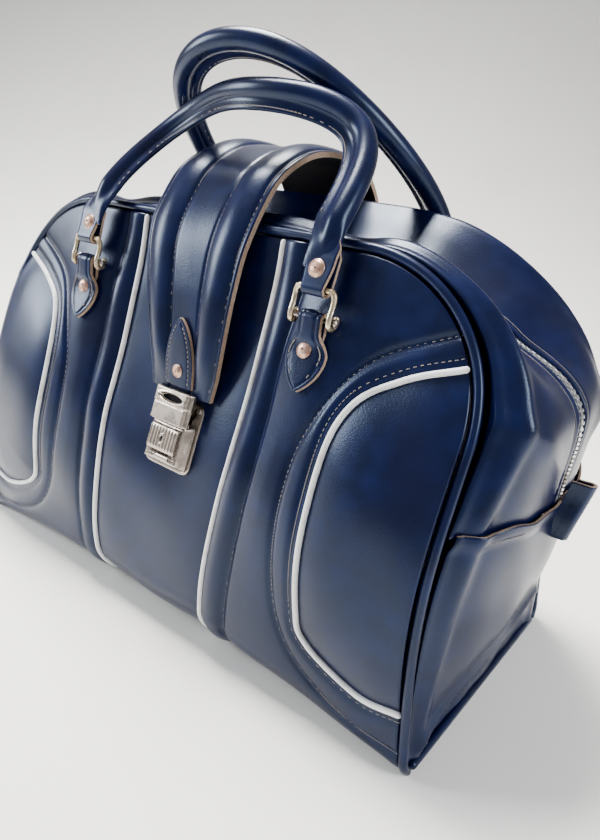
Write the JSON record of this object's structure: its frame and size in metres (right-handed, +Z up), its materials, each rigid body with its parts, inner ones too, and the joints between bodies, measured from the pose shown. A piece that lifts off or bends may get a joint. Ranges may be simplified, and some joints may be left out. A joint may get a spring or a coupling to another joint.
{
  "type": "travel holdall",
  "caption": "Soft leatherette weekend holdall with a zipped top, two rolled handles on rings, white piped panels and a strap that closes into a sliding lock.",
  "frame": {"origin": "middle of the underside, on the surface that the bag stands on", "axes": "+Z up, +X along the length to the bag's left-hand end as a viewer facing the front sees it on the right, -Y out of the front panel"},
  "size_m": [0.5682, 0.2459, 0.4255],
  "materials": {
    "leatherette": "navy leatherette with a soft gloss",
    "edge_piping": "navy rolled piping",
    "trim_piping": "off-white piping",
    "board": "grey-brown stiffening board",
    "zip_tape": "pale woven tape",
    "zip_metal": "bright silver metal",
    "nickel": "aged warm nickel plate",
    "ring_brass": "worn pale brass",
    "copper": "dull copper rivet"
  },
  "bodies": {
    "bag": {"back_panel": "leatherette", "base_board": "board", "base_panel": "leatherette", "base_piping_left": "edge_piping", "base_piping_right": "edge_piping", "centre_piping_back_left": "trim_piping", "centre_piping_back_right": "trim_piping", "centre_piping_front_left": "trim_piping", "centre_piping_front_right": "trim_piping", "chape_back_left": "leatherette", "chape_back_right": "leatherette", "chape_front_left": "leatherette", "chape_front_right": "leatherette", "edge_piping_back": "edge_piping", "edge_piping_front": "edge_piping", "end_gusset_left": "leatherette", "end_gusset_right": "leatherette", "front_panel": "leatherette", "inlay_piping_back_left": "trim_piping", "inlay_piping_back_right": "trim_piping", "inlay_piping_front_left": "trim_piping", "inlay_piping_front_right": "trim_piping", "lock_case": "nickel", "lock_plate": "nickel", "ring_pin_back_left": "nickel", "ring_pin_back_right": "nickel", "ring_pin_front_left": "nickel", "ring_pin_front_right": "nickel", "rivet_chape_back_left": "copper", "rivet_chape_back_right": "copper", "rivet_chape_front_left": "copper", "rivet_chape_front_right": "copper", "strap_arch": "leatherette", "top_gusset_back": "leatherette", "top_gusset_front": "leatherette", "zip_end_tab_left": "leatherette", "zip_end_tab_right": "leatherette", "zip_tape_back": "zip_tape", "zip_tape_front": "zip_tape", "zip_teeth_back": "zip_metal", "zip_teeth_front": "zip_metal"},
    "front_left_ring": {"ring_front_left": "ring_brass"},
    "front_right_ring": {"ring_front_right": "ring_brass"},
    "back_left_ring": {"ring_back_left": "ring_brass"},
    "back_right_ring": {"ring_back_right": "ring_brass"},
    "front_handle": {"handle_front": "leatherette", "rivet_handle_front_left": "copper", "rivet_handle_front_right": "copper"},
    "back_handle": {"handle_back": "leatherette", "rivet_handle_back_left": "copper", "rivet_handle_back_right": "copper"},
    "closing_flap": {"strap_flap": "leatherette", "strap_tab": "leatherette", "rivet_strap_tab": "copper", "hasp_plate": "nickel"},
    "lock_slide": {"lock_release": "nickel", "keyhole_bush": "nickel"},
    "zip_runner": {"zip_slider": "zip_metal"},
    "zip_pull_tag": {"zip_puller": "zip_metal"}
  },
  "joints": [
    {"name": "front_left_ring_swing", "type": "hinge", "parent": "bag", "child": "front_left_ring", "pos_m": [0, -0.08491, 0.25792], "axis": [1, 0, 0], "range_deg": [0, 60]},
    {"name": "front_right_ring_swing", "type": "hinge", "parent": "bag", "child": "front_right_ring", "pos_m": [0, -0.08491, 0.25792], "axis": [1, 0, 0], "range_deg": [0, 60]},
    {"name": "front_handle_swing", "type": "hinge", "parent": "front_left_ring", "child": "front_handle", "pos_m": [0, -0.08491, 0.27592], "axis": [1, 0, 0], "range_deg": [0, 110]},
    {"name": "back_left_ring_swing", "type": "hinge", "parent": "bag", "child": "back_left_ring", "pos_m": [0, 0.08491, 0.25792], "axis": [-1, 0, 0], "range_deg": [0, 60]},
    {"name": "back_right_ring_swing", "type": "hinge", "parent": "bag", "child": "back_right_ring", "pos_m": [0, 0.08491, 0.25792], "axis": [-1, 0, 0], "range_deg": [0, 60]},
    {"name": "back_handle_swing", "type": "hinge", "parent": "back_left_ring", "child": "back_handle", "pos_m": [0, 0.08491, 0.27592], "axis": [-1, 0, 0], "range_deg": [0, 110]},
    {"name": "strap_flap_lift", "type": "hinge", "parent": "bag", "child": "closing_flap", "pos_m": [0, -0.066, 0.316], "axis": [-1, 0, 0], "range_deg": [0, 100]},
    {"name": "lock_slide_down", "type": "slide", "parent": "bag", "child": "lock_slide", "axis": [0, -0.3167, -0.9485], "range_m": [0, 0.004], "stiffness_N_per_m": 150},
    {"name": "zip_slide", "type": "slide", "parent": "bag", "child": "zip_runner", "axis": [1, 0, 0], "range_m": [0, 0.19]},
    {"name": "zip_pull_turn", "type": "hinge", "parent": "zip_runner", "child": "zip_pull_tag", "pos_m": [-0.095, 0, 0.2955], "axis": [0, -1, 0], "range_deg": [0, 180]}
  ],
  "couplings": [
    {"joint": "front_right_ring_swing", "follows": "front_left_ring_swing", "ratio": 1},
    {"joint": "back_right_ring_swing", "follows": "back_left_ring_swing", "ratio": 1}
  ]
}
